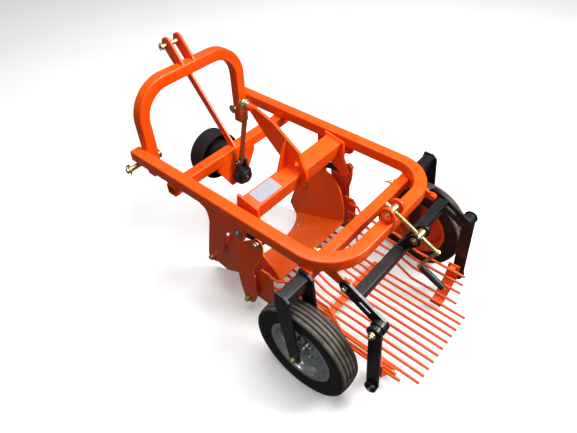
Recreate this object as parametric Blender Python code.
"""Single-row vibrating potato digger for a small tractor's three-point hitch.

Frame coordinates: x = 0 on the centre line and +x on the machine's left, y = 0 at the front ends of
the rails and growing rearwards, z = 0 on top of the rails. One empty carries every piece, and puts the
machine on level ground as it parks: on its two wheels and the two front corners of the share.
"""

import math

import bmesh
import bpy
from mathutils import Matrix, Vector

# ---------------------------------------------------------------- driving dimensions (metres)
GAP = 0.0003  # between pieces that touch
TUBE = 0.050  # outer side of the frame's square tube
TUBE_CORNER = 0.006
FRAME_HALF_WIDTH = 0.345
FRAME_LENGTH = 1.080
FRAME_BEND_RADIUS = 0.153  # of the tube's centre line

ARCH_Y = 0.033
ARCH_TOP = 0.277
ARCH_FOOT = -0.140
ARCH_BEND_RADIUS = 0.140

TOP_PIN_Y = -0.033
TOP_PIN_Z = 0.340
LUG_RADIUS = 0.030
LUG_THICKNESS = 0.010
LUG_HALF_SPACING = 0.024  # to the inner face
LUG_LEAN = math.radians(38)
TOP_PIN_RADIUS = 0.0095
BRACE_WIDTH = 0.035
BRACE_THICKNESS = 0.010

HITCH_PIN_Y = 0.022
HITCH_PIN_Z = -0.066
HITCH_PIN_RADIUS = 0.011
HITCH_PIN_OUT = FRAME_HALF_WIDTH + 0.050
HITCH_PIN_IN = FRAME_HALF_WIDTH - 0.117

FRONT_TUBE_Y = 0.254
FRONT_TUBE_OVERHANG = 0.004
TUBE_WALL = 0.004

REAR_TUBE_Y = FRAME_LENGTH - 0.1285
REAR_TUBE_SIDE = 0.045
REAR_TUBE_OVERHANG = 0.003
STUB_CLEARANCE = 0.0005

GUARD_Z = -0.155
GUARD_RADIUS = 0.111
GUARD_FRONT = 0.078
GUARD_REAR = 0.158
GUARD_HUB_RADIUS = 0.076
GUARD_WALL = 0.004

SHAFT_Z = -0.178
SHAFT_RADIUS = 0.0175
SHAFT_FRONT = 0.060
BEARING_PLATE_REAR = 0.274
BEARING_PLATE_THICKNESS = 0.010
BEARING_HALF_WIDTH = 0.112
HOUSING_RADIUS = 0.040
CRANK_THROW = 0.012
CRANK_DISC_RADIUS = 0.034

STRAP_FRONT = 0.287
STRAP_REAR = 0.317
STRAP_RADIUS = 0.045
BOSS_RADIUS = 0.031
ROD_FOOT = (0.300, -0.112)  # y, z of the pin in the strap's ears
ROD_HEAD = (0.368, 0.192)  # y, z of the ball joint at the lever's tip
ROD_RADIUS = 0.011
BALL_RADIUS = 0.0128

PIVOT = (0.630, -0.084)  # y, z of the rocker's axis
BEAM_SIDE = 0.080
BEAM_TILT = math.radians(11.6)
BEAM_FRONT_TOP = (0.572, 0.005)
BEAM_HALF_LENGTH = FRAME_HALF_WIDTH - 0.087
LEVER_THICKNESS = 0.012
END_PLATE_THICKNESS = 0.010
PIVOT_PIN_RADIUS = 0.012

LINK_REAR = (0.675, -0.150)
LINK_FRONT = (0.540, -0.178)
LINK_THICKNESS = 0.006
SHARE_LINK_PIN = 0.009
LINK_INNER = FRAME_HALF_WIDTH - 0.0722
HANGER_THICKNESS = 0.008
HANGER_TOP_INNER = FRAME_HALF_WIDTH - 0.057
HANGER_FOOT_INNER = FRAME_HALF_WIDTH - 0.023
HANGER_FOOT = (0.625, -0.490)

SIDE_PLATE_THICKNESS = 0.008
SHARE_PIVOT = (0.446, -0.340)

SHARE_THICKNESS = 0.008
SHARE_REAR = (0.713, -0.403)
SHARE_TIP = (0.399, -0.547)
SHARE_REAR_HALF = FRAME_HALF_WIDTH - 0.124
SHARE_TIP_HALF = FRAME_HALF_WIDTH - 0.100
SHARE_WING_TOP = (0.590, -0.215)
SHARE_WING_HALF = FRAME_HALF_WIDTH - 0.073
SHARE_EDGE_SAG = 0.109

ROD_COUNT = 11
SIEVE_ROD_RADIUS = 0.006
SIEVE_HALF = FRAME_HALF_WIDTH - 0.157
SIEVE_FRONT = (0.702, -0.464)
SIEVE_LEVEL = (0.845, -0.532)  # where the rods turn level, behind their ramp
SIEVE_REAR = (FRAME_LENGTH + 0.290, -0.541)
SIEVE_PLATE_INNER = FRAME_HALF_WIDTH - 0.062
SIEVE_PLATE_THICKNESS = 0.008
SIEVE_PIN_RADIUS = 0.009
SIDE_ROD_COUNT = 4
BRACKET_Y = FRAME_LENGTH + 0.156
BRACKET_WIDTH = 0.050
BRACKET_THICKNESS = 0.006
BRACKET_OUTER = FRAME_HALF_WIDTH - 0.050
SIDE_ROD_REAR = FRAME_LENGTH + 0.230
CROSS_BAR_Y = FRAME_LENGTH - 0.175

ARM_PIVOT = (FRAME_LENGTH + 0.003, -0.082)  # y, z of the adjusting frame's axis
ARM_INNER = FRAME_HALF_WIDTH - 0.070
ARM_THICKNESS = 0.010
ARM_ROUND = 0.0155
ARM_PIN_RADIUS = 0.007
BAR_SIDE = 0.040
BAR_FRONT_TOP = (FRAME_LENGTH + 0.024, -0.080)
SLOT_PLATE_INNER = FRAME_HALF_WIDTH - 0.0545
SLOT_PLATE_THICKNESS = 0.010
BUSH = (FRAME_LENGTH + 0.148, -0.154)
LINK_FOOT = (FRAME_LENGTH + 0.170, -0.480)
REAR_LINK_INNER = FRAME_HALF_WIDTH - 0.020
REAR_LINK_THICKNESS = 0.012
REAR_LINK_WIDTH = 0.040
BUSH_PIN_RADIUS = 0.008
BUSH_RADIUS = 0.014
BUSH_FLANGE = 0.028

SPINDLE_HEAD = (FRAME_LENGTH - 0.022, 0.035)  # y, z of the trunnion between the frame's lugs
SPINDLE_NUT = (FRAME_LENGTH + 0.091, -0.018)
SPINDLE_RADIUS = 0.009
SPINDLE_FRONT_LENGTH = 0.034
SPINDLE_REAR_LENGTH = 0.092
SPINDLE_LUG_INNER = 0.025
TRUNNION_PIN_RADIUS = 0.008
CRANK_ARM = 0.114
CRANK_TURN = math.radians(90)  # from level, so the arm hangs down
CRANK_GRIP = 0.115

WHEEL_X = FRAME_HALF_WIDTH + 0.067
WHEEL_Y = FRAME_LENGTH - 0.075
WHEEL_Z = -0.375
TYRE_RADIUS = 0.206
TYRE_WIDTH = 0.092
RIM_RADIUS = 0.136
RIM_WIDTH = 0.075
RIM_WALL = 0.004
AXLE_RADIUS = 0.008
FORK_PLATE = 0.010
FORK_INNER = FRAME_HALF_WIDTH + 0.005
FORK_OUTER = FRAME_HALF_WIDTH + 0.135
FORK_TOP = -0.048
FORK_STUB_INNER = FRAME_HALF_WIDTH - 0.115

TUBE_TOP = -TUBE - GAP  # height of what hangs under the rails
ROUND = 16  # sides of a round piece
WHEEL_SIDES = 40


# ---------------------------------------------------------------- materials
def paint(name, colour, roughness, metallic=0.0):
    """A Principled material of one colour."""
    material = bpy.data.materials.new(name)
    material.use_nodes = True
    shader = material.node_tree.nodes["Principled BSDF"]
    shader.inputs["Base Color"].default_value = (*colour, 1.0)
    shader.inputs["Roughness"].default_value = roughness
    shader.inputs["Metallic"].default_value = metallic
    material.diffuse_color = (*colour, 1.0)
    return material


# ---------------------------------------------------------------- shape helpers
def arc(centre, radius, start, end, steps):
    """Points of an arc in a plane, angles in degrees, both ends included."""
    points = []
    for step in range(steps + 1):
        angle = math.radians(start + (end - start) * step / steps)
        points.append((centre[0] + radius * math.cos(angle), centre[1] + radius * math.sin(angle)))
    return points


def capsule(first, second, radius_first, radius_second, steps=8):
    """Outline of a bar with round ends, from two centres in a plane."""
    heading = math.degrees(math.atan2(second[1] - first[1], second[0] - first[0]))
    rear = arc(first, radius_first, heading + 90, heading + 270, steps)
    front = arc(second, radius_second, heading - 90, heading + 90, steps)
    return rear + front


def slab(mesh, outline, low, high, axis="X"):
    """Adds a plate: an outline in the plane across the axis, between two places on the axis."""
    order = {"X": (2, 0, 1), "Y": (0, 2, 1), "Z": (0, 1, 2)}[axis]
    sides = []
    for place in (low, high):
        ring = []
        for u, v in outline:
            point = (u, v, place)
            ring.append(mesh.verts.new([point[i] for i in order]))
        sides.append(ring)
    faces = [mesh.faces.new(sides[0]), mesh.faces.new(sides[1])]
    count = len(outline)
    for i in range(count):
        j = (i + 1) % count
        faces.append(mesh.faces.new((sides[0][i], sides[0][j], sides[1][j], sides[1][i])))
    bmesh.ops.recalc_face_normals(mesh, faces=faces)


def block(mesh, x, y, z):
    """Adds a box from three (low, high) pairs."""
    slab(mesh, [(x[0], y[0]), (x[1], y[0]), (x[1], y[1]), (x[0], y[1])], z[0], z[1], "Z")


def turn(mesh, profile, centre, axis="X", sides=ROUND, ring=False):
    """Adds a turned solid: (radius, place) points along an axis through the centre."""
    across = {"X": (1, 2), "Y": (0, 2), "Z": (0, 1)}[axis]
    along = "XYZ".index(axis)
    rows = []
    for radius, place in profile:
        row = []
        for side in range(1 if radius == 0 else sides):
            angle = 2 * math.pi * side / sides
            point = list(centre)
            point[across[0]] += radius * math.cos(angle)
            point[across[1]] += radius * math.sin(angle)
            point[along] += place
            row.append(mesh.verts.new(point))
        rows.append(row)
    pairs = list(zip(rows, rows[1:] + rows[:1])) if ring else list(zip(rows, rows[1:]))
    faces = []
    for low, high in pairs:
        for side in range(sides):
            after = (side + 1) % sides
            corners = [low[side % len(low)], low[after % len(low)]]
            corners += [high[after % len(high)], high[side % len(high)]]
            kept = list(dict.fromkeys(corners))
            faces.append(mesh.faces.new(kept))
    bmesh.ops.recalc_face_normals(mesh, faces=faces)


def rounded_square(half_u, half_v, corner, steps=2):
    """Section of a square tube."""
    points = []
    for quadrant, (sign_u, sign_v) in enumerate(((1, 1), (-1, 1), (-1, -1), (1, -1))):
        middle = (sign_u * (half_u - corner), sign_v * (half_v - corner))
        points += arc(middle, corner, 90 * quadrant, 90 * quadrant + 90, steps)
    return points


def sweep(mesh, path, section, normal):
    """Adds a bar: a section carried along a path that lies in the plane across the normal."""
    rings = []
    count = len(path)
    for i, point in enumerate(path):
        before = (point - path[i - 1]).normalized() if i else None
        after = (path[i + 1] - point).normalized() if i + 1 < count else None
        heading = ((before or after) + (after or before)).normalized()
        stretch = 1 / heading.dot(after or before)
        side = heading.cross(normal) * stretch
        rings.append([mesh.verts.new(point + side * u + normal * v) for u, v in section])
    faces = [mesh.faces.new(rings[0]), mesh.faces.new(rings[-1])]
    for low, high in zip(rings, rings[1:]):
        for i in range(len(section)):
            j = (i + 1) % len(section)
            faces.append(mesh.faces.new((low[i], low[j], high[j], high[i])))
    bmesh.ops.recalc_face_normals(mesh, faces=faces)


def round_section(radius, sides=8):
    """Section of a round rod."""
    return [
        (radius * math.cos(2 * math.pi * i / sides), radius * math.sin(2 * math.pi * i / sides))
        for i in range(sides)
    ]


def hollow_tube(mesh, x, centre, side, wall):
    """Adds an open-ended square tube along x, its section centred at (y, z)."""
    loops = []
    for half, corner in ((side / 2, TUBE_CORNER), (side / 2 - wall, TUBE_CORNER - wall)):
        for place in x:
            section = rounded_square(half, half, corner)
            ring = [mesh.verts.new((place, centre[0] + u, centre[1] + v)) for u, v in section]
            loops.append(ring)
    outer_low, outer_high, inner_low, inner_high = loops
    faces = []
    for low, high in (
        (outer_low, outer_high),
        (inner_low, inner_high),
        (outer_low, inner_low),
        (outer_high, inner_high),
    ):
        for i in range(len(low)):
            j = (i + 1) % len(low)
            faces.append(mesh.faces.new((low[i], low[j], high[j], high[i])))
    bmesh.ops.recalc_face_normals(mesh, faces=faces)


def ribbon(mesh, levels, thickness):
    """Adds a bent strip: levels of (inner x, z, front y, rear y), one above the other."""
    rings = []
    for inner, z, front, rear in levels:
        corners = ((inner, front), (inner + thickness, front), (inner + thickness, rear), (inner, rear))
        rings.append([mesh.verts.new((x, y, z)) for x, y in corners])
    faces = [mesh.faces.new(rings[0]), mesh.faces.new(rings[-1])]
    for low, high in zip(rings, rings[1:]):
        for i in range(4):
            j = (i + 1) % 4
            faces.append(mesh.faces.new((low[i], low[j], high[j], high[i])))
    bmesh.ops.recalc_face_normals(mesh, faces=faces)


# ---------------------------------------------------------------- scene helpers
def place(name, mesh, material, origin, carrier):
    """Makes an object of a bmesh given in frame coordinates, with its origin on its own axis."""
    bmesh.ops.translate(mesh, verts=mesh.verts, vec=-Vector(origin))
    data = bpy.data.meshes.new(name)
    mesh.to_mesh(data)
    mesh.free()
    data.shade_smooth()
    data.set_sharp_from_angle(angle=math.radians(30))
    data.materials.append(material)
    piece = bpy.data.objects.new(name, data)
    bpy.context.scene.collection.objects.link(piece)
    piece.parent = carrier
    piece.location = origin
    return piece


def helper(name, mesh, carrier):
    """A shape that only cuts or joins another one."""
    data = bpy.data.meshes.new(name)
    mesh.to_mesh(data)
    mesh.free()
    shape = bpy.data.objects.new(name, data)
    bpy.context.scene.collection.objects.link(shape)
    shape.parent = carrier
    shape.hide_render = True
    shape.display_type = "WIRE"
    return shape


def combine(piece, mesh, operation, carrier):
    """Cuts (DIFFERENCE) or joins (UNION) a shape in frame coordinates."""
    count = len(piece.modifiers) + 1
    shape = helper(f"{piece.name}_shape_{count}", mesh, carrier)
    modifier = piece.modifiers.new(f"{operation.lower()} {count}", "BOOLEAN")
    modifier.operation = operation
    modifier.solver = "EXACT"
    modifier.object = shape


def bore(piece, centre, radius, x, carrier, sides=ROUND):
    """Cuts a round hole along x."""
    cutter = bmesh.new()
    turn(cutter, [(0, x[0]), (radius, x[0]), (radius, x[1]), (0, x[1])], (0, *centre), sides=sides)
    combine(piece, cutter, "DIFFERENCE", carrier)


def span(side, inner, outer):
    """The (low, high) x of something between two distances from the centre line, on one side."""
    return tuple(sorted((side * inner, side * outer)))


# ---------------------------------------------------------------- parking attitude
def share_corner():
    """The underside of the share's front corners, as (y, z)."""
    slope = share_slope()
    return (
        SHARE_TIP[0] + SHARE_THICKNESS * math.sin(slope),
        SHARE_TIP[1] - SHARE_THICKNESS * math.cos(slope),
    )


def share_slope():
    return math.atan2(SHARE_REAR[1] - SHARE_TIP[1], SHARE_REAR[0] - SHARE_TIP[0])


def parked(carrier):
    """Tips the machine until its wheels and the share's front corners stand on z = 0."""
    corner = share_corner()
    reach = Vector((WHEEL_Y - corner[0], WHEEL_Z - corner[1]))
    pitch = math.asin(TYRE_RADIUS / reach.length) - math.atan2(reach.y, reach.x)
    turned = Matrix.Rotation(pitch, 4, "X")
    wheel = turned @ Vector((0, WHEEL_Y, WHEEL_Z))
    nose = turned @ Vector((0, TOP_PIN_Y, TOP_PIN_Z))
    tail = turned @ Vector((0, *SIEVE_REAR))
    front = nose.y - LUG_RADIUS
    carrier.rotation_euler = (pitch, 0, 0)
    carrier.location = (0, -(front + tail.y) / 2, TYRE_RADIUS - wheel.z)


# ---------------------------------------------------------------- frame
def build_frame(orange, carrier):
    half = FRAME_HALF_WIDTH - TUBE / 2
    rear = FRAME_LENGTH - TUBE / 2
    middle = -TUBE / 2
    bend = FRAME_BEND_RADIUS
    left = arc((half - bend, rear - bend), bend, 0, 90, 12)
    right = arc((bend - half, rear - bend), bend, 90, 180, 12)
    outline = [(half, 0)] + left + right + [(-half, 0)]
    mesh = bmesh.new()
    section = rounded_square(TUBE / 2, TUBE / 2, TUBE_CORNER)
    sweep(mesh, [Vector((x, y, middle)) for x, y in outline], section, Vector((0, 0, 1)))
    place("frame_rails", mesh, orange, (0, 0, 0), carrier)


def build_arch(orange, carrier):
    half = FRAME_HALF_WIDTH - TUBE - GAP - TUBE / 2
    top = ARCH_TOP - TUBE / 2
    bend = ARCH_BEND_RADIUS
    left = arc((half - bend, top - bend), bend, 0, 90, 10)
    right = arc((bend - half, top - bend), bend, 90, 180, 10)
    outline = [(half, ARCH_FOOT)] + left + right + [(-half, ARCH_FOOT)]
    mesh = bmesh.new()
    section = rounded_square(TUBE / 2, TUBE / 2, TUBE_CORNER)
    sweep(mesh, [Vector((x, ARCH_Y, z)) for x, z in outline], section, Vector((0, 1, 0)))
    arch = place("hitch_arch", mesh, orange, (0, 0, 0), carrier)
    for side in (1, -1):
        hole = (HITCH_PIN_Y, HITCH_PIN_Z)
        across = span(side, half - TUBE, half + TUBE)
        bore(arch, hole, HITCH_PIN_RADIUS + GAP, across, carrier)


def lean_point(start, along, across):
    """A (y, z) point off a place, along the lugs' downward lean and across it."""
    down = (math.sin(LUG_LEAN), -math.cos(LUG_LEAN))
    rear = (math.cos(LUG_LEAN), math.sin(LUG_LEAN))
    return tuple(start[i] + down[i] * along + rear[i] * across for i in (0, 1))


def build_top_lug(side, name, orange, carrier):
    pin = (TOP_PIN_Y, TOP_PIN_Z)
    lean = math.degrees(LUG_LEAN)
    seat = ARCH_TOP + GAP
    face = ARCH_Y - TUBE / 2 - GAP
    outline = arc(pin, LUG_RADIUS, lean, lean + 180, 8)
    front_end = lean_point(pin, (face - pin[0] + LUG_RADIUS * math.cos(LUG_LEAN)) / math.sin(LUG_LEAN), -LUG_RADIUS)
    rear_start = lean_point(pin, 0, LUG_RADIUS)
    rear_length = (rear_start[1] - seat) / math.cos(LUG_LEAN)
    rear_end = lean_point(pin, rear_length, LUG_RADIUS)
    outline += [front_end, (face, seat), rear_end]
    mesh = bmesh.new()
    across = span(side, LUG_HALF_SPACING, LUG_HALF_SPACING + LUG_THICKNESS)
    slab(mesh, outline, *across)
    lug = place(name, mesh, orange, (0, 0, 0), carrier)
    bore(lug, pin, TOP_PIN_RADIUS + GAP, (across[0] - 0.01, across[1] + 0.01), carrier)


def build_brace(orange, carrier):
    top = ARCH_TOP - TUBE - GAP
    foot = TUBE_TOP
    start = (ARCH_Y, top)
    end = (FRONT_TUBE_Y, foot)
    lean = math.atan2(end[0] - start[0], start[1] - end[1])
    half = BRACE_WIDTH / 2 / math.cos(lean)
    outline = [(start[0] - half, top), (start[0] + half, top), (end[0] + half, foot), (end[0] - half, foot)]
    mesh = bmesh.new()
    slab(mesh, outline, -BRACE_THICKNESS / 2, BRACE_THICKNESS / 2)
    place("arch_brace", mesh, orange, (0, 0, 0), carrier)


def build_cross_tubes(orange, carrier):
    for name, y, side, overhang in (
        ("front_cross_tube", FRONT_TUBE_Y, TUBE, FRONT_TUBE_OVERHANG),
        ("rear_cross_tube", REAR_TUBE_Y, REAR_TUBE_SIDE, REAR_TUBE_OVERHANG),
    ):
        reach = FRAME_HALF_WIDTH + overhang
        mesh = bmesh.new()
        hollow_tube(mesh, (-reach, reach), (y, TUBE_TOP - side / 2), side, TUBE_WALL)
        place(name, mesh, orange, (0, 0, 0), carrier)


def side_plate_outline():
    foot = SHARE_PIVOT
    band = 0.034
    front = arc((foot[0] - 0.021, TUBE_TOP - 0.040), 0.040, 90, 0, 5)
    bottom = arc(foot, 0.030, 170, 330, 8)
    notch = arc((PIVOT[0] - 0.050, PIVOT[1] - band - 0.028), 0.028, 180, 90, 5)
    tail = arc(PIVOT, band, 270, 360, 5)
    rear_leg = [(foot[0] + 0.064, foot[1] + 0.060)]
    return front + [(foot[0] + 0.019, foot[1] + 0.215)] + bottom + rear_leg + notch + tail + [
        (PIVOT[0] + band, TUBE_TOP)
    ]


def build_side_plate(side, name, orange, carrier):
    outer = FRAME_HALF_WIDTH
    across = span(side, outer - SIDE_PLATE_THICKNESS, outer)
    mesh = bmesh.new()
    slab(mesh, side_plate_outline(), *across)
    plate = place(name, mesh, orange, (0, 0, 0), carrier)
    reach = (across[0] - 0.01, across[1] + 0.01)
    bore(plate, SHARE_PIVOT, AXLE_RADIUS + 0.002 + GAP, reach, carrier)
    bore(plate, PIVOT, PIVOT_PIN_RADIUS + 2 * GAP, reach, carrier)


def build_share_bolt(side, name, zinc, carrier):
    shank = AXLE_RADIUS + 0.002
    plate = FRAME_HALF_WIDTH - SIDE_PLATE_THICKNESS
    wing = wing_inner(*SHARE_PIVOT)
    spacer = shank + 0.007
    stations = [
        (0, FRAME_HALF_WIDTH + GAP + 0.010),
        (0.015, FRAME_HALF_WIDTH + GAP + 0.010),
        (0.015, FRAME_HALF_WIDTH + GAP),
        (shank, FRAME_HALF_WIDTH + GAP),
        (shank, plate - GAP),
        (spacer, plate - GAP),
        (spacer, wing + SHARE_THICKNESS + 0.004),
        (shank, wing + SHARE_THICKNESS + 0.004),
        (shank, wing - 0.005),
        (0.015, wing - 0.005),
        (0.015, wing - 0.015),
        (0, wing - 0.015),
    ]
    mesh = bmesh.new()
    turn(mesh, [(r, side * x) for r, x in stations], (0, *SHARE_PIVOT))
    place(name, mesh, zinc, (0, 0, 0), carrier)


# ---------------------------------------------------------------- hitch pins
def build_hitch_pins(zinc, carrier):
    mesh = bmesh.new()
    reach = LUG_HALF_SPACING + LUG_THICKNESS
    profile = [
        (0, -reach - 0.012),
        (0.014, -reach - 0.012),
        (0.014, -reach - GAP),
        (TOP_PIN_RADIUS, -reach - GAP),
        (TOP_PIN_RADIUS, reach + 0.030),
        (0, reach + 0.030),
    ]
    turn(mesh, profile, (0, TOP_PIN_Y, TOP_PIN_Z))
    place("top_link_pin", mesh, zinc, (0, 0, 0), carrier)
    outer = FRAME_HALF_WIDTH - TUBE - GAP
    inner = outer - TUBE
    for side, name in ((1, "lower_hitch_pin_left"), (-1, "lower_hitch_pin_right")):
        stations = [
            (0, HITCH_PIN_IN),
            (0.016, HITCH_PIN_IN),
            (0.016, inner - GAP),
            (HITCH_PIN_RADIUS, inner - GAP),
            (HITCH_PIN_RADIUS, outer + GAP),
            (0.0145, outer + GAP),
            (0.0145, outer + 0.012),
            (HITCH_PIN_RADIUS, outer + 0.012),
            (HITCH_PIN_RADIUS, HITCH_PIN_OUT),
            (0, HITCH_PIN_OUT),
        ]
        mesh = bmesh.new()
        turn(mesh, [(r, side * x) for r, x in stations], (0, HITCH_PIN_Y, HITCH_PIN_Z))
        place(name, mesh, zinc, (0, 0, 0), carrier)


# ---------------------------------------------------------------- drive
def build_drive_mounting(orange, black, carrier):
    """The bearing plate with its housing, under the front cross tube, and the guard before it."""
    top = TUBE_TOP - TUBE - GAP
    low = SHAFT_Z - 0.062
    wide = BEARING_HALF_WIDTH
    outline = [(wide, top), (wide, top - 0.022), (0.045, low), (-0.045, low), (-wide, top - 0.022), (-wide, top)]
    rear = BEARING_PLATE_REAR
    mesh = bmesh.new()
    slab(mesh, outline, rear - BEARING_PLATE_THICKNESS, rear, "Y")
    plate = place("bearing_plate", mesh, orange, (0, 0, 0), carrier)
    housing = bmesh.new()
    front = GUARD_REAR + 0.030
    profile = [(0, front), (HOUSING_RADIUS, front), (HOUSING_RADIUS, rear - 0.004), (0, rear - 0.004)]
    turn(housing, profile, (0, 0, SHAFT_Z), "Y")
    combine(plate, housing, "UNION", carrier)
    hole = bmesh.new()
    radius = SHAFT_RADIUS + 0.0005
    turn(hole, [(0, 0.1), (radius, 0.1), (radius, 0.4), (0, 0.4)], (0, 0, SHAFT_Z), "Y", sides=24)
    combine(plate, hole, "DIFFERENCE", carrier)

    web = GUARD_FRONT + 0.022
    seat = FRONT_TUBE_Y - TUBE / 2 - GAP
    hub = GUARD_HUB_RADIUS
    profile = [
        (GUARD_RADIUS, GUARD_FRONT),
        (GUARD_RADIUS, GUARD_REAR),
        (GUARD_RADIUS - GUARD_WALL, GUARD_REAR),
        (GUARD_RADIUS - GUARD_WALL, web + GUARD_WALL),
        (hub, web + GUARD_WALL),
        (hub, seat),
        (hub - GUARD_WALL, seat),
        (hub - GUARD_WALL, web),
        (GUARD_RADIUS - GUARD_WALL, web),
        (GUARD_RADIUS - GUARD_WALL, GUARD_FRONT),
    ]
    mesh = bmesh.new()
    turn(mesh, profile, (0, 0, GUARD_Z), "Y", sides=36, ring=True)
    place("input_guard", mesh, black, (0, 0, 0), carrier)


def build_shaft(steel, carrier):
    rear = BEARING_PLATE_REAR + 0.001
    profile = [
        (0, SHAFT_FRONT),
        (SHAFT_RADIUS - 0.002, SHAFT_FRONT),
        (SHAFT_RADIUS, SHAFT_FRONT + 0.003),
        (SHAFT_RADIUS, rear),
        (CRANK_DISC_RADIUS, rear),
        (CRANK_DISC_RADIUS, rear + 0.006),
        (0, rear + 0.006),
    ]
    mesh = bmesh.new()
    turn(mesh, profile, (0, 0, SHAFT_Z), "Y", sides=24)
    place("input_shaft", mesh, steel, (0, SHAFT_FRONT, SHAFT_Z), carrier)


def build_strap(black, carrier):
    centre = SHAFT_Z - CRANK_THROW
    profile = [
        (0, STRAP_FRONT),
        (STRAP_RADIUS, STRAP_FRONT),
        (STRAP_RADIUS, STRAP_REAR - 0.006),
        (BOSS_RADIUS, STRAP_REAR - 0.006),
        (BOSS_RADIUS, STRAP_REAR + 0.010),
        (0, STRAP_REAR + 0.010),
    ]
    mesh = bmesh.new()
    turn(mesh, profile, (0, 0, centre), "Y", sides=28)
    strap = place("eccentric_strap", mesh, black, (0, *ROD_FOOT), carrier)
    for side in (1, -1):
        ear = bmesh.new()
        low = centre + STRAP_RADIUS * 0.6
        outline = [(ROD_FOOT[0] - 0.013, low), (ROD_FOOT[0] + 0.013, low)] + arc(ROD_FOOT, 0.013, 0, 180, 6)
        slab(ear, outline, *span(side, ROD_RADIUS + 0.002, ROD_RADIUS + 0.014))
        combine(strap, ear, "UNION", carrier)
        bore(strap, ROD_FOOT, 0.0065, span(side, ROD_RADIUS, ROD_RADIUS + 0.03), carrier, sides=12)


def build_rod(zinc, carrier):
    foot = Vector((0, *ROD_FOOT))
    head = Vector((0, *ROD_HEAD))
    line = (head - foot).normalized()
    mesh = bmesh.new()
    section = round_section(ROD_RADIUS, 14)
    sweep(mesh, [foot - line * 0.010, head - line * 0.018], section, Vector((1, 0, 0)))
    rod = place("connecting_rod", mesh, zinc, (0, *ROD_HEAD), carrier)
    eye = bmesh.new()
    inner = BALL_RADIUS + 0.0006
    turn(eye, [(inner, -0.009), (0.022, -0.009), (0.022, 0.009), (inner, 0.009)], head, "Y", ring=True)
    combine(rod, eye, "UNION", carrier)
    pin = bmesh.new()
    reach = ROD_RADIUS + 0.020
    turn(pin, [(0, -reach), (0.006, -reach), (0.006, reach), (0, reach)], foot, sides=10)
    combine(rod, pin, "UNION", carrier)


# ---------------------------------------------------------------- rocker
def beam_frame():
    """The beam's front top edge, and unit (y, z) vectors across its top and down its front."""
    rear = (math.cos(BEAM_TILT), -math.sin(BEAM_TILT))
    down = (-math.sin(BEAM_TILT), -math.cos(BEAM_TILT))
    return BEAM_FRONT_TOP, rear, down


def beam_point(across, below):
    corner, rear, down = beam_frame()
    return tuple(corner[i] + rear[i] * across + down[i] * below for i in (0, 1))


def build_rocker(orange, zinc, carrier):
    corner = 0.007
    half = BEAM_SIDE / 2
    section = [beam_point(half + u, half + v) for u, v in rounded_square(half, half, corner)]
    mesh = bmesh.new()
    slab(mesh, section, -BEAM_HALF_LENGTH, BEAM_HALF_LENGTH)
    place("rocker_beam", mesh, orange, (0, *PIVOT), carrier)

    tip = (ROD_HEAD[0] + 0.043, ROD_HEAD[1] - 0.006)
    seat = -GAP
    outline = (
        arc(tip, 0.019, 230, 95, 6)
        + [(0.512, 0.172), (0.640, 0.088)]
        + arc((0.606, -0.014), 0.072, 45, -40, 8)
        + [beam_point(BEAM_SIDE - seat, BEAM_SIDE - 0.012), beam_point(BEAM_SIDE - seat, seat)]
        + [beam_point(0, seat), beam_point(-0.030, -0.018), (0.474, 0.092)]
    )
    mesh = bmesh.new()
    half = LEVER_THICKNESS / 2
    slab(mesh, outline, -half, half)
    lever = place("rocker_lever", mesh, orange, (0, *PIVOT), carrier)
    bore(lever, (0.628, 0.030), 0.012, (-0.02, 0.02), carrier)
    gusset = bmesh.new()
    foot = beam_point(0.006, seat)
    corners = [(half - 0.002, foot[1] + GAP), (0.062, foot[1] + GAP), (0.030, foot[1] + 0.090), (half - 0.002, foot[1] + 0.120)]
    slab(gusset, corners, foot[0] - 0.004, foot[0] + 0.004, "Y")
    combine(lever, gusset, "UNION", carrier)
    boss = bmesh.new()
    boss_low = ROD_HEAD[0] + 0.016
    boss_high = tip[0] + 0.004
    turn(
        boss,
        [(0, boss_low), (0.015, boss_low), (0.015, boss_high), (0, boss_high)],
        (0, 0, ROD_HEAD[1]),
        "Y",
    )
    combine(lever, boss, "UNION", carrier)

    mesh = bmesh.new()
    face = ROD_HEAD[0] + 0.016 - GAP
    ball = [(BALL_RADIUS * math.cos(a), BALL_RADIUS * math.sin(a)) for a in (-0.8, -0.4, 0, 0.4, 0.8)]
    profile = [(0, -0.030), (0.013, -0.030), (0.013, -0.018), (0.008, -0.018)]
    profile += ball + [(0.008, 0.0145), (0.012, 0.0145), (0.012, face - ROD_HEAD[0]), (0, face - ROD_HEAD[0])]
    turn(mesh, profile, (0, *ROD_HEAD), "Y")
    place("rod_end_bolt", mesh, zinc, (0, *ROD_HEAD), carrier)


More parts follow.
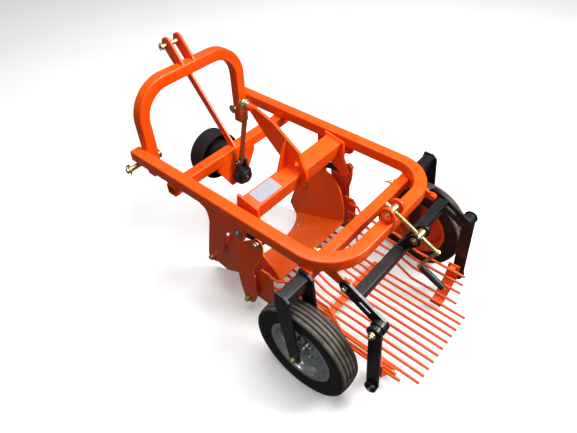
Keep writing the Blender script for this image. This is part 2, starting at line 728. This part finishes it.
def build_end_plate(side, name, orange, carrier):
    inner = BEAM_HALF_LENGTH + GAP
    outer = inner + END_PLATE_THICKNESS
    top_front = beam_point(-0.012, -0.009)
    top_rear = beam_point(BEAM_SIDE + 0.010, -0.009)
    outline = [top_front, top_rear, (0.668, -0.085)]
    outline += arc(LINK_REAR, 0.022, 0, -120, 6)
    outline += [(0.600, -0.128), (0.549, -0.062)]
    mesh = bmesh.new()
    slab(mesh, outline, *span(side, inner, outer))
    plate = place(name, mesh, orange, (0, *PIVOT), carrier)
    pin = bmesh.new()
    end = FRAME_HALF_WIDTH + 0.002
    turn(
        pin,
        [
            (0, side * (inner + 0.003)),
            (PIVOT_PIN_RADIUS + 0.006, side * (inner + 0.003)),
            (PIVOT_PIN_RADIUS + 0.006, side * (FRAME_HALF_WIDTH - SIDE_PLATE_THICKNESS - 0.001)),
            (PIVOT_PIN_RADIUS, side * (FRAME_HALF_WIDTH - SIDE_PLATE_THICKNESS - 0.001)),
            (PIVOT_PIN_RADIUS, side * end),
            (0, side * end),
        ],
        (0, *PIVOT),
    )
    combine(plate, pin, "UNION", carrier)
    stud = bmesh.new()
    turn(
        stud,
        [
            (0, side * (inner + 0.003)),
            (SHARE_LINK_PIN, side * (inner + 0.003)),
            (SHARE_LINK_PIN, side * (HANGER_TOP_INNER - GAP)),
            (0, side * (HANGER_TOP_INNER - GAP)),
        ],
        (0, *LINK_REAR),
    )
    combine(plate, stud, "UNION", carrier)


def build_hanger(side, name, orange, carrier):
    """The bent arm from the rocker's lug down to the sieve's front."""
    top = HANGER_TOP_INNER
    foot = HANGER_FOOT_INNER
    radius = 0.022
    levels = []
    for angle in (80, 55, 28, 0):
        y = radius * math.cos(math.radians(angle))
        z = radius * math.sin(math.radians(angle))
        levels.append((top, LINK_REAR[1] + z, LINK_REAR[0] - y, LINK_REAR[0] + y))
    levels.append((top, -0.178, 0.612, 0.698))
    levels.append((top + 0.002, -0.206, 0.579, 0.695))
    levels.append((foot, -0.288, 0.568, 0.664))
    levels.append((foot, -0.445, HANGER_FOOT[0] - 0.040, HANGER_FOOT[0] + 0.050))
    levels.append((foot, HANGER_FOOT[1], HANGER_FOOT[0] - 0.031, HANGER_FOOT[0] + 0.034))
    levels.append((foot, HANGER_FOOT[1] - 0.018, HANGER_FOOT[0] - 0.025, HANGER_FOOT[0] + 0.025))
    levels.append((foot, HANGER_FOOT[1] - 0.028, HANGER_FOOT[0] - 0.012, HANGER_FOOT[0] + 0.012))
    mesh = bmesh.new()
    ribbon(mesh, [(x, z, front, rear) for x, z, front, rear in levels], HANGER_THICKNESS)
    if side < 0:
        bmesh.ops.scale(mesh, verts=mesh.verts, vec=(-1, 1, 1))
        bmesh.ops.reverse_faces(mesh, faces=mesh.faces)
    hanger = place(name, mesh, orange, (0, *PIVOT), carrier)
    reach = span(side, foot - 0.01, foot + 0.02)
    bore(hanger, HANGER_FOOT, SIEVE_PIN_RADIUS + GAP, reach, carrier)


def build_sieve_pin(side, name, zinc, carrier):
    """The bolt that carries the sieve's front on its hanger."""
    inner = SIEVE_PLATE_INNER
    collar = inner + SIEVE_PLATE_THICKNESS + 0.002
    outer = HANGER_FOOT_INNER + HANGER_THICKNESS
    stations = [
        (0, inner - 0.012),
        (0.015, inner - 0.012),
        (0.015, inner - 0.002),
        (SIEVE_PIN_RADIUS, inner - 0.002),
        (SIEVE_PIN_RADIUS, collar),
        (0.015, collar),
        (0.015, HANGER_FOOT_INNER - 0.002),
        (SIEVE_PIN_RADIUS, HANGER_FOOT_INNER - 0.002),
        (SIEVE_PIN_RADIUS, outer + 0.002),
        (0.015, outer + 0.002),
        (0.015, outer + 0.012),
        (0, outer + 0.012),
    ]
    mesh = bmesh.new()
    turn(mesh, [(r, side * x) for r, x in stations], (0, *HANGER_FOOT))
    place(name, mesh, zinc, (0, *HANGER_FOOT), carrier)


# ---------------------------------------------------------------- share
def wing_plane():
    """Coefficients (a, b, c) of the wings' inner face, x = a + b y + c z."""
    rows = (
        (SHARE_REAR, SHARE_REAR_HALF),
        (SHARE_TIP, SHARE_TIP_HALF),
        (SHARE_WING_TOP, SHARE_WING_HALF),
    )
    matrix = Matrix([(1, point[0], point[1]) for point, _ in rows])
    return matrix.inverted() @ Vector([half for _, half in rows])


def wing_inner(y, z):
    a, b, c = wing_plane()
    return a + b * y + c * z


def wing_outline():
    """The wing from the side: toe, arched top with the link's ear, rear edge and the floor's line."""
    toe = [(SHARE_TIP[0] - 0.049, SHARE_TIP[1] + 0.036), (0.376, -0.405)]
    crown = arc((0.560, -0.345), 0.130, 158, 20, 14)
    before = [point for point in crown if point[0] < LINK_FRONT[0] - 0.022]
    after = [point for point in crown if point[0] > LINK_FRONT[0] + 0.022]
    ear = arc(LINK_FRONT, 0.017, 200, 20, 8)
    depth = SHARE_THICKNESS * 0.85
    down = Vector((math.sin(share_slope()), -math.cos(share_slope()))) * depth
    rear = [(0.698, -0.330), (SHARE_REAR[0] - 0.0012, SHARE_REAR[1] + 0.002)]
    low = [(SHARE_REAR[0] - 0.0012 + down[0], SHARE_REAR[1] + down[1]), (SHARE_TIP[0] + down[0], SHARE_TIP[1] + down[1])]
    return toe + before + ear + after + rear + low


def build_share(orange, carrier):
    slope = share_slope()
    sag = SHARE_EDGE_SAG
    radius = (SHARE_TIP_HALF**2 + sag**2) / (2 * sag)
    steps = 14
    edge = []
    for step in range(steps + 1):
        x = -SHARE_TIP_HALF + 2 * SHARE_TIP_HALF * step / steps
        drop = radius - math.sqrt(radius**2 - x**2)
        edge.append((x, SHARE_TIP[0] + sag - drop))
    edge += [(SHARE_REAR_HALF, SHARE_REAR[0]), (-SHARE_REAR_HALF, SHARE_REAR[0])]
    mesh = bmesh.new()
    tops = []
    bottoms = []
    for x, y in edge:
        z = SHARE_TIP[1] + (y - SHARE_TIP[0]) * math.tan(slope)
        tops.append(mesh.verts.new((x, y, z)))
        under = (x, y + SHARE_THICKNESS * math.sin(slope), z - SHARE_THICKNESS * math.cos(slope))
        bottoms.append(mesh.verts.new(under))
    faces = [mesh.faces.new(tops), mesh.faces.new(bottoms)]
    for i in range(len(tops)):
        j = (i + 1) % len(tops)
        faces.append(mesh.faces.new((tops[i], tops[j], bottoms[j], bottoms[i])))
    bmesh.ops.recalc_face_normals(mesh, faces=faces)
    share = place("share", mesh, orange, (0, *SHARE_PIVOT), carrier)
    for side in (1, -1):
        wing = bmesh.new()
        rings = []
        for offset in (-0.0005, SHARE_THICKNESS):
            rings.append(
                [wing.verts.new((side * (wing_inner(y, z) + offset), y, z)) for y, z in wing_outline()]
            )
        faces = [wing.faces.new(rings[0]), wing.faces.new(rings[1])]
        for i in range(len(rings[0])):
            j = (i + 1) % len(rings[0])
            faces.append(wing.faces.new((rings[0][i], rings[0][j], rings[1][j], rings[1][i])))
        bmesh.ops.recalc_face_normals(wing, faces=faces)
        combine(share, wing, "UNION", carrier)
        hub = bmesh.new()
        low = LINK_INNER - 0.004
        high = wing_inner(*LINK_FRONT) + 0.004
        stations = [(0, low), (SHARE_LINK_PIN, low), (SHARE_LINK_PIN, high), (0, high)]
        turn(hub, [(r, side * x) for r, x in stations], (0, *LINK_FRONT))
        combine(share, hub, "UNION", carrier)
    for side in (1, -1):
        wing = wing_inner(*SHARE_PIVOT)
        bore(share, SHARE_PIVOT, AXLE_RADIUS + 0.002 + 2 * GAP, span(side, wing - 0.02, wing + 0.03), carrier)


def build_share_link(side, name, black, carrier):
    outline = capsule(LINK_FRONT, LINK_REAR, 0.017, 0.019)
    across = span(side, LINK_INNER, LINK_INNER + LINK_THICKNESS)
    mesh = bmesh.new()
    slab(mesh, outline, *across)
    link = place(name, mesh, black, (0, *LINK_REAR), carrier)
    reach = (across[0] - 0.01, across[1] + 0.01)
    bore(link, LINK_REAR, SHARE_LINK_PIN + 2 * GAP, reach, carrier)
    bore(link, LINK_FRONT, SHARE_LINK_PIN + 0.002, reach, carrier)


# ---------------------------------------------------------------- sieve
def sieve_height(y):
    """Height of the floor rods' centre lines."""
    front, rear = (SIEVE_FRONT, SIEVE_LEVEL) if y < SIEVE_LEVEL[0] else (SIEVE_LEVEL, SIEVE_REAR)
    share = (y - front[0]) / (rear[0] - front[0])
    return front[1] + (rear[1] - front[1]) * share


def floor_path(x):
    """One floor rod: a short ramp down from under the share, then level."""
    bend = 0.030
    stations = (SIEVE_FRONT[0], SIEVE_LEVEL[0] - bend, SIEVE_LEVEL[0] + bend, SIEVE_REAR[0])
    points = [Vector((x, y, sieve_height(y))) for y in stations]
    middle = (points[1] + points[2]) / 2
    dip = Vector((x, SIEVE_LEVEL[0], (middle.z + SIEVE_LEVEL[1]) / 2))
    return points[:2] + [dip] + points[2:]


def build_sieve(orange, carrier):
    front = SIEVE_FRONT[0]
    section = round_section(SIEVE_ROD_RADIUS, 8)
    mesh = bmesh.new()
    half = SIEVE_PLATE_INNER - GAP
    thick = 0.012
    for y, width, reach in ((front + 0.006, 0.022, half), (CROSS_BAR_Y, 0.030, SIEVE_HALF + 0.025)):
        top = sieve_height(y + width / 2) - SIEVE_ROD_RADIUS * 0.6
        block(mesh, (-reach, reach), (y, y + width), (top - thick, top))
    sieve = place("sieve_rods", mesh, orange, (0, *HANGER_FOOT), carrier)
    rods = bmesh.new()
    for index in range(ROD_COUNT):
        x = -SIEVE_HALF + 2 * SIEVE_HALF * index / (ROD_COUNT - 1)
        sweep(rods, floor_path(x), section, Vector((1, 0, 0)))
    combine(sieve, rods, "UNION", carrier)


def side_rod_path(index):
    """A side rod: out from the front plate, in behind the share, then out and down at the wheels."""
    rise = index / (SIDE_ROD_COUNT - 1)
    front_z = -0.497 + 0.160 * rise
    rear_z = -0.534 + 0.129 * rise
    inner = SIEVE_PLATE_INNER - 0.047 + 0.012 * rise
    outer = SIEVE_PLATE_INNER - 0.054 + 0.041 * rise**0.5
    start = SIEVE_PLATE_INNER - 0.004
    drop = front_z - 0.006 * rise
    return [
        Vector((start, 0.700, front_z)),
        Vector((start, 0.748, front_z)),
        Vector((inner, 0.790, front_z)),
        Vector((inner, FRAME_LENGTH - 0.080 - 0.02 * rise, drop)),
        Vector((outer, FRAME_LENGTH + 0.010 - 0.02 * rise, rear_z + 0.002)),
        Vector((outer, SIDE_ROD_REAR - 0.012 * rise, rear_z)),
    ]


def tube_along(mesh, path, radius, sides):
    """Adds a round rod along any path, each joint mitred."""
    rings = []
    for i, point in enumerate(path):
        before = (point - path[i - 1]).normalized() if i else None
        after = (path[i + 1] - point).normalized() if i + 1 < len(path) else None
        heading = ((before or after) + (after or before)).normalized()
        line = after or before
        across = Vector((0, 0, 1)).cross(line).normalized()
        above = line.cross(across)
        ring = []
        for u, v in round_section(radius, sides):
            spoke = across * u + above * v
            ring.append(mesh.verts.new(point + spoke - line * (spoke.dot(heading) / line.dot(heading))))
        rings.append(ring)
    faces = [mesh.faces.new(rings[0]), mesh.faces.new(rings[-1])]
    for low, high in zip(rings, rings[1:]):
        for i in range(sides):
            j = (i + 1) % sides
            faces.append(mesh.faces.new((low[i], low[j], high[j], high[i])))
    bmesh.ops.recalc_face_normals(mesh, faces=faces)


def mirrored(mesh, side):
    """Turns a shape made for the left into one for the right."""
    if side < 0:
        bmesh.ops.scale(mesh, verts=mesh.verts, vec=(-1, 1, 1))
        bmesh.ops.reverse_faces(mesh, faces=mesh.faces)


def build_sieve_side(side, name, orange, carrier):
    """One side of the sieve: its front plate, its raised rods and its rear bracket."""
    inner = SIEVE_PLATE_INNER
    foot = HANGER_FOOT
    outline = arc(foot, 0.026, 150, 270, 6)
    outline += [(0.716, -0.516), (0.732, -0.500), (0.732, -0.330), (0.716, -0.312), (0.672, -0.312), (0.652, -0.335)]
    mesh = bmesh.new()
    slab(mesh, outline, *span(side, inner, inner + SIEVE_PLATE_THICKNESS))
    plate = place(name, mesh, orange, (0, *HANGER_FOOT), carrier)
    bore(plate, foot, SIEVE_PIN_RADIUS + GAP, span(side, inner - 0.02, inner + 0.02), carrier)
    rods = bmesh.new()
    for index in range(SIDE_ROD_COUNT):
        tube_along(rods, side_rod_path(index), SIEVE_ROD_RADIUS, 8)
    mirrored(rods, side)
    combine(plate, rods, "UNION", carrier)
    strip = bmesh.new()
    low = sieve_height(LINK_FOOT[0]) - SIEVE_ROD_RADIUS - GAP - BRACKET_THICKNESS / 2
    knee = SIEVE_HALF + 0.030
    path = [
        Vector((SIEVE_HALF - SIEVE_ROD_RADIUS, BRACKET_Y, low)),
        Vector((knee, BRACKET_Y, low)),
        Vector((BRACKET_OUTER - 0.004, BRACKET_Y, -0.470)),
        Vector((BRACKET_OUTER, BRACKET_Y, -0.440)),
        Vector((BRACKET_OUTER, BRACKET_Y, -0.392)),
    ]
    half = BRACKET_THICKNESS / 2
    wide = BRACKET_WIDTH / 2
    sweep(strip, path, [(half, wide), (-half, wide), (-half, -wide), (half, -wide)], Vector((0, 1, 0)))
    mirrored(strip, side)
    combine(plate, strip, "UNION", carrier)
    web = bmesh.new()
    slab(
        web,
        [(0.262, -0.412), (BRACKET_OUTER, -0.412), (BRACKET_OUTER, -0.398), (0.262, -0.398)],
        BRACKET_Y - 0.012,
        BRACKET_Y + 0.012,
        "Y",
    )
    mirrored(web, side)
    combine(plate, web, "UNION", carrier)


# ---------------------------------------------------------------- rear suspension of the sieve
def build_rear_arm(side, name, orange, zinc, carrier):
    """The plate under the frame's rear corner that carries the adjusting frame."""
    front = REAR_TUBE_Y + REAR_TUBE_SIDE / 2 + 0.002
    outline = [(front, TUBE_TOP), (1.036, TUBE_TOP), (1.062, -0.068)]
    outline += arc(ARM_PIVOT, ARM_ROUND, 100, -90, 7)
    outline += [(1.030, -0.104), (front, -0.088)]
    mesh = bmesh.new()
    slab(mesh, outline, *span(side, ARM_INNER, ARM_INNER + ARM_THICKNESS))
    arm = place(name, mesh, orange, (0, 0, 0), carrier)
    outer = SLOT_PLATE_INNER + SLOT_PLATE_THICKNESS
    stations = [
        (0, ARM_INNER - 0.008),
        (0.012, ARM_INNER - 0.008),
        (0.012, ARM_INNER + 0.002),
        (ARM_PIN_RADIUS, ARM_INNER + 0.002),
        (ARM_PIN_RADIUS, outer + 0.001),
        (0.013, outer + 0.001),
        (0.013, outer + 0.009),
        (0, outer + 0.009),
    ]
    pin = bmesh.new()
    turn(pin, [(r, side * x) for r, x in stations], (0, *ARM_PIVOT), sides=16)
    combine(arm, pin, "UNION", carrier)


def build_spindle_lug(side, name, orange, carrier):
    outline = [(1.030, GAP), (1.078, GAP)]
    outline += arc(SPINDLE_HEAD, 0.028, -20, 200, 10)
    across = span(side, SPINDLE_LUG_INNER, SPINDLE_LUG_INNER + 0.010)
    mesh = bmesh.new()
    slab(mesh, outline, *across)
    lug = place(name, mesh, orange, (0, 0, 0), carrier)
    bore(lug, SPINDLE_HEAD, TRUNNION_PIN_RADIUS + GAP, (across[0] - 0.01, across[1] + 0.01), carrier)


def build_adjusting_frame(black, carrier):
    """The cross bar with the clevis for the spindle's nut."""
    reach = SLOT_PLATE_INNER - GAP
    front, top = BAR_FRONT_TOP
    mesh = bmesh.new()
    section = rounded_square(BAR_SIDE / 2, BAR_SIDE / 2, 0.004)
    middle = (front + BAR_SIDE / 2, top - BAR_SIDE / 2)
    slab(mesh, [(middle[0] + u, middle[1] + v) for u, v in section], -reach, reach)
    bar = place("adjusting_bar", mesh, black, (0, *ARM_PIVOT), carrier)
    for side in (1, -1):
        across = span(side, SPINDLE_LUG_INNER, SPINDLE_LUG_INNER + 0.010)
        plate = bmesh.new()
        foot = [(front + 0.004, top - 0.006), (front + BAR_SIDE - 0.002, top - 0.006)]
        slab(plate, foot + arc(SPINDLE_NUT, 0.024, -40, 160, 9), *across)
        combine(bar, plate, "UNION", carrier)
        bore(bar, SPINDLE_NUT, TRUNNION_PIN_RADIUS + GAP, (across[0] - 0.01, across[1] + 0.01), carrier)


def build_slotted_plate(side, name, black, carrier):
    inner = SLOT_PLATE_INNER
    outer = inner + SLOT_PLATE_THICKNESS
    mesh = bmesh.new()
    slab(mesh, capsule(ARM_PIVOT, BUSH, 0.027, 0.027), *span(side, inner, outer))
    plate = place(name, mesh, black, (0, *ARM_PIVOT), carrier)
    reach = span(side, inner - 0.01, outer + 0.01)
    bore(plate, ARM_PIVOT, ARM_PIN_RADIUS + GAP, reach, carrier, sides=16)
    first = Vector(ARM_PIVOT)
    line = (Vector(BUSH) - first).normalized()
    slot = bmesh.new()
    low, high = first + line * 0.052, first + line * 0.112
    slab(slot, capsule(low, high, 0.006, 0.006, 5), *reach)
    combine(plate, slot, "DIFFERENCE", carrier)


def build_bush_pin(side, name, zinc, carrier):
    """The pin on the slotted plate's rear end that the bush turns on."""
    inner = SLOT_PLATE_INNER + SLOT_PLATE_THICKNESS + GAP
    end = REAR_LINK_INNER + REAR_LINK_THICKNESS + 0.008
    stations = [
        (0, inner),
        (BUSH_PIN_RADIUS, inner),
        (BUSH_PIN_RADIUS, end + 0.003),
        (0.014, end + 0.003),
        (0.014, end + 0.012),
        (0, end + 0.012),
    ]
    mesh = bmesh.new()
    turn(mesh, [(r, side * x) for r, x in stations], (0, *BUSH), sides=16)
    place(name, mesh, zinc, (0, *BUSH), carrier)


def build_bush(side, name, black, carrier):
    """The sleeve on the slotted plate's pin, inside the rear link's eye."""
    inner = SLOT_PLATE_INNER + SLOT_PLATE_THICKNESS + 0.002
    end = REAR_LINK_INNER + REAR_LINK_THICKNESS + 0.008
    shoulder = REAR_LINK_INNER - 0.002
    profile = [
        (BUSH_PIN_RADIUS + 0.0005, inner),
        (BUSH_FLANGE, inner),
        (BUSH_FLANGE, shoulder),
        (BUSH_RADIUS, shoulder),
        (BUSH_RADIUS, end),
        (BUSH_PIN_RADIUS + 0.0005, end),
    ]
    mesh = bmesh.new()
    turn(mesh, [(r, side * x) for r, x in profile], (0, *BUSH), ring=True)
    place(name, mesh, black, (0, *BUSH), carrier)


def build_rear_link(side, name, black, carrier):
    inner = REAR_LINK_INNER
    outer = inner + REAR_LINK_THICKNESS
    round_end = REAR_LINK_WIDTH / 2 + 0.004
    mesh = bmesh.new()
    slab(mesh, capsule(LINK_FOOT, BUSH, round_end, round_end), *span(side, inner, outer))
    link = place(name, mesh, black, (0, *BUSH), carrier)
    bore(link, BUSH, BUSH_RADIUS + GAP, span(side, inner - 0.01, outer + 0.01), carrier)
    stations = [
        (0, BRACKET_OUTER + BRACKET_THICKNESS / 2 + 0.005),
        (0.011, BRACKET_OUTER + BRACKET_THICKNESS / 2 + 0.005),
        (0.011, inner - 0.006),
        (0.017, inner - 0.006),
        (0.017, outer + 0.006),
        (0.012, outer + 0.006),
        (0.012, outer + 0.014),
        (0, outer + 0.014),
    ]
    pin = bmesh.new()
    turn(pin, [(r, side * x) for r, x in stations], (0, *LINK_FOOT), sides=20)
    combine(link, pin, "UNION", carrier)


# ---------------------------------------------------------------- spindle
def spindle_line():
    head = Vector((0, *SPINDLE_HEAD))
    return head, (Vector((0, *SPINDLE_NUT)) - head).normalized()


def build_spindle(zinc, carrier):
    head, line = spindle_line()
    up = Vector((1, 0, 0)).cross(line) * -1
    reach = (Vector((0, *SPINDLE_NUT)) - head).length + SPINDLE_REAR_LENGTH
    mesh = bmesh.new()
    tip = head + line * reach
    sweep(mesh, [head - line * SPINDLE_FRONT_LENGTH, tip], round_section(SPINDLE_RADIUS, 16), Vector((1, 0, 0)))
    spindle = place("spindle", mesh, zinc, (0, *SPINDLE_HEAD), carrier)
    trunnion = bmesh.new()
    inner = SPINDLE_LUG_INNER - 0.002
    outer = SPINDLE_LUG_INNER + 0.010 + 0.004
    pin = TRUNNION_PIN_RADIUS
    stations = [(0, -outer), (pin, -outer), (pin, -inner), (0.015, -inner), (0.015, inner), (pin, inner), (pin, outer)]
    turn(trunnion, stations + [(0, outer)], head, sides=20)
    combine(spindle, trunnion, "UNION", carrier)
    arm = bmesh.new()
    axis = Vector((1, 0, 0)) * math.cos(CRANK_TURN) + up * math.sin(CRANK_TURN)
    wide = axis.cross(line)
    start = tip - line * 0.009
    flat = [(0.012, 0.005), (-0.012, 0.005), (-0.012, -0.005), (0.012, -0.005)]
    carry = [start - axis * 0.016, start + axis * (CRANK_ARM + 0.014)]
    rings = []
    for point in carry:
        rings.append([arm.verts.new(point + wide * u + line * v) for u, v in flat])
    faces = [arm.faces.new(rings[0]), arm.faces.new(rings[1])]
    for i in range(4):
        j = (i + 1) % 4
        faces.append(arm.faces.new((rings[0][i], rings[0][j], rings[1][j], rings[1][i])))
    bmesh.ops.recalc_face_normals(arm, faces=faces)
    combine(spindle, arm, "UNION", carrier)
    grip = bmesh.new()
    handle = start + axis * CRANK_ARM
    sweep(grip, [handle - line * 0.003, handle + line * (CRANK_GRIP + 0.006)], round_section(0.005, 12), wide)
    combine(spindle, grip, "UNION", carrier)
    return handle, line, wide


def build_crank_grip(handle, line, wide, black, carrier):
    """The sleeve on the crank's pin."""
    mesh = bmesh.new()
    rings = []
    across = wide.cross(line)
    for radius, place_along in (
        (0.0055, 0.0075),
        (0.012, 0.0075),
        (0.0135, 0.030),
        (0.0135, CRANK_GRIP - 0.012),
        (0.011, CRANK_GRIP - 0.002),
        (0.0055, CRANK_GRIP - 0.002),
    ):
        ring = []
        for u, v in round_section(radius, 16):
            ring.append(mesh.verts.new(handle + line * place_along + wide * u + across * v))
        rings.append(ring)
    faces = []
    for low, high in zip(rings, rings[1:] + rings[:1]):
        for i in range(16):
            j = (i + 1) % 16
            faces.append(mesh.faces.new((low[i], low[j], high[j], high[i])))
    bmesh.ops.recalc_face_normals(mesh, faces=faces)
    place("crank_grip", mesh, black, (0, *SPINDLE_HEAD), carrier)


def build_spindle_nut(zinc, carrier):
    _, line = spindle_line()
    centre = Vector((0, *SPINDLE_NUT))
    inner = SPINDLE_LUG_INNER - 0.002
    outer = SPINDLE_LUG_INNER + 0.010 + 0.004
    pin = TRUNNION_PIN_RADIUS
    stations = [(0, -outer), (pin, -outer), (pin, -inner), (0.015, -inner), (0.015, inner), (pin, inner), (pin, outer)]
    mesh = bmesh.new()
    turn(mesh, stations + [(0, outer)], centre, sides=20)
    nut = place("spindle_nut", mesh, zinc, tuple(centre), carrier)
    hole = bmesh.new()
    section = round_section(SPINDLE_RADIUS + 0.001, 16)
    sweep(hole, [centre - line * 0.03, centre + line * 0.03], section, Vector((1, 0, 0)))
    combine(nut, hole, "DIFFERENCE", carrier)


# ---------------------------------------------------------------- wheels
def fork_outline():
    """One arm of a wheel fork, from the side."""
    axle = (WHEEL_Y, WHEEL_Z)
    round_end = arc(axle, 0.024, -10, -175, 8)
    front = REAR_TUBE_Y - 0.0215
    top = [(front, FORK_TOP), (front + 0.042, FORK_TOP), (front + 0.060, FORK_TOP - 0.016)]
    return top + round_end + [(front, -0.120)]


def build_fork(side, name, black, carrier):
    mesh = bmesh.new()
    slab(mesh, fork_outline(), *span(side, FORK_INNER, FORK_INNER + FORK_PLATE))
    fork = place(name, mesh, black, (0, 0, 0), carrier)
    outer = bmesh.new()
    slab(outer, fork_outline(), *span(side, FORK_OUTER - FORK_PLATE, FORK_OUTER))
    bridge = bmesh.new()
    x = span(side, FORK_INNER + FORK_PLATE - 0.002, FORK_OUTER - FORK_PLATE + 0.002)
    middle = (REAR_TUBE_Y + 0.0025, -0.087)
    section = rounded_square(0.0225, 0.025, 0.004)
    slab(bridge, [(middle[0] + u, middle[1] + v) for u, v in section], *x)
    combine(fork, bridge, "UNION", carrier)
    combine(fork, outer, "UNION", carrier)
    stub = bmesh.new()
    half = REAR_TUBE_SIDE / 2 - TUBE_WALL - STUB_CLEARANCE
    centre = (REAR_TUBE_Y, TUBE_TOP - REAR_TUBE_SIDE / 2)
    section = rounded_square(half, half, 0.003)
    x = span(side, FORK_STUB_INNER, FORK_INNER + 0.003)
    slab(stub, [(centre[0] + u, centre[1] + v) for u, v in section], *x)
    combine(fork, stub, "UNION", carrier)
    reach = span(side, FORK_INNER - 0.01, FORK_OUTER + 0.01)
    bore(fork, (WHEEL_Y, WHEEL_Z), AXLE_RADIUS + GAP, reach, carrier, sides=16)


def build_axle(side, name, zinc, carrier):
    stations = [
        (0, FORK_INNER - 0.009),
        (0.014, FORK_INNER - 0.009),
        (0.014, FORK_INNER - GAP),
        (AXLE_RADIUS, FORK_INNER - GAP),
        (AXLE_RADIUS, FORK_OUTER + GAP),
        (0.014, FORK_OUTER + GAP),
        (0.014, FORK_OUTER + 0.011),
        (0, FORK_OUTER + 0.011),
    ]
    mesh = bmesh.new()
    turn(mesh, [(r, side * x) for r, x in stations], (0, WHEEL_Y, WHEEL_Z), sides=16)
    place(name, mesh, zinc, (0, 0, 0), carrier)


def build_wheel(side, suffix, rubber, rim_material, carrier):
    centre = (side * WHEEL_X, WHEEL_Y, WHEEL_Z)
    half = RIM_WIDTH / 2
    seat = RIM_RADIUS - 0.0135
    well = seat - RIM_WALL
    hub = 0.026
    profile = [
        (AXLE_RADIUS + 0.0005, -0.040),
        (hub, -0.040),
        (hub, -RIM_WALL),
        (well, -RIM_WALL),
        (well, -half),
        (RIM_RADIUS, -half),
        (RIM_RADIUS, -half + RIM_WALL),
        (seat, -half + 0.006),
        (seat, half - 0.006),
        (RIM_RADIUS, half - RIM_WALL),
        (RIM_RADIUS, half),
        (well, half),
        (well, RIM_WALL * 0.5),
        (hub, RIM_WALL * 0.5),
        (hub, 0.040),
        (AXLE_RADIUS + 0.0005, 0.040),
    ]
    mesh = bmesh.new()
    turn(mesh, profile, centre, sides=WHEEL_SIDES, ring=True)
    place(f"rim_{suffix}", mesh, rim_material, centre, carrier)
    bead = half - 0.0065
    wide = TYRE_WIDTH / 2
    outer = [
        (seat + GAP, bead),
        (RIM_RADIUS + 0.001, bead - 0.0005),
        (RIM_RADIUS + 0.006, half + 0.002),
        (RIM_RADIUS + 0.036, wide),
        (TYRE_RADIUS - 0.018, wide - 0.001),
        (TYRE_RADIUS - 0.006, wide - 0.006),
        (TYRE_RADIUS, wide - 0.016),
    ]
    profile = [(r, -x) for r, x in outer] + [(r, x) for r, x in reversed(outer)]
    mesh = bmesh.new()
    turn(mesh, profile, centre, sides=WHEEL_SIDES, ring=True)
    place(f"tyre_{suffix}", mesh, rubber, centre, carrier)


def main():
    for thing in list(bpy.data.objects):
        bpy.data.objects.remove(thing)
    orange = paint("orange_paint", (0.85, 0.10, 0.005), 0.35)
    black = paint("black_paint", (0.012, 0.012, 0.014), 0.45)
    zinc = paint("zinc_plate", (0.62, 0.56, 0.40), 0.35, 1.0)
    steel = paint("bare_steel", (0.45, 0.46, 0.47), 0.35, 1.0)
    rubber = paint("rubber", (0.010, 0.010, 0.011), 0.75)
    bare_rim = paint("zinc_rim", (0.50, 0.53, 0.53), 0.30, 1.0)
    carrier = bpy.data.objects.new("machine", None)
    bpy.context.scene.collection.objects.link(carrier)
    parked(carrier)
    build_frame(orange, carrier)
    build_arch(orange, carrier)
    build_brace(orange, carrier)
    build_cross_tubes(orange, carrier)
    build_hitch_pins(zinc, carrier)
    build_drive_mounting(orange, black, carrier)
    build_shaft(steel, carrier)
    build_strap(black, carrier)
    build_rod(zinc, carrier)
    build_rocker(orange, zinc, carrier)
    build_share(orange, carrier)
    build_sieve(orange, carrier)
    build_adjusting_frame(black, carrier)
    build_crank_grip(*build_spindle(zinc, carrier), black, carrier)
    build_spindle_nut(zinc, carrier)
    for side, suffix in ((1, "left"), (-1, "right")):
        build_top_lug(side, f"top_link_lug_{suffix}", orange, carrier)
        build_side_plate(side, f"side_plate_{suffix}", orange, carrier)
        build_share_bolt(side, f"share_pivot_bolt_{suffix}", zinc, carrier)
        build_end_plate(side, f"rocker_end_plate_{suffix}", orange, carrier)
        build_hanger(side, f"sieve_hanger_{suffix}", orange, carrier)
        build_sieve_pin(side, f"sieve_pin_{suffix}", zinc, carrier)
        build_share_link(side, f"share_link_{suffix}", black, carrier)
        build_sieve_side(side, f"sieve_side_{suffix}", orange, carrier)
        build_rear_arm(side, f"rear_arm_{suffix}", orange, zinc, carrier)
        build_spindle_lug(side, f"spindle_lug_{suffix}", orange, carrier)
        build_slotted_plate(side, f"slotted_plate_{suffix}", black, carrier)
        build_bush_pin(side, f"bush_pin_{suffix}", zinc, carrier)
        build_bush(side, f"rear_bush_{suffix}", black, carrier)
        build_rear_link(side, f"rear_link_{suffix}", black, carrier)
        build_fork(side, f"wheel_fork_{suffix}", black, carrier)
        build_axle(side, f"axle_{suffix}", zinc, carrier)
        build_wheel(side, suffix, rubber, bare_rim if side > 0 else orange, carrier)


main()
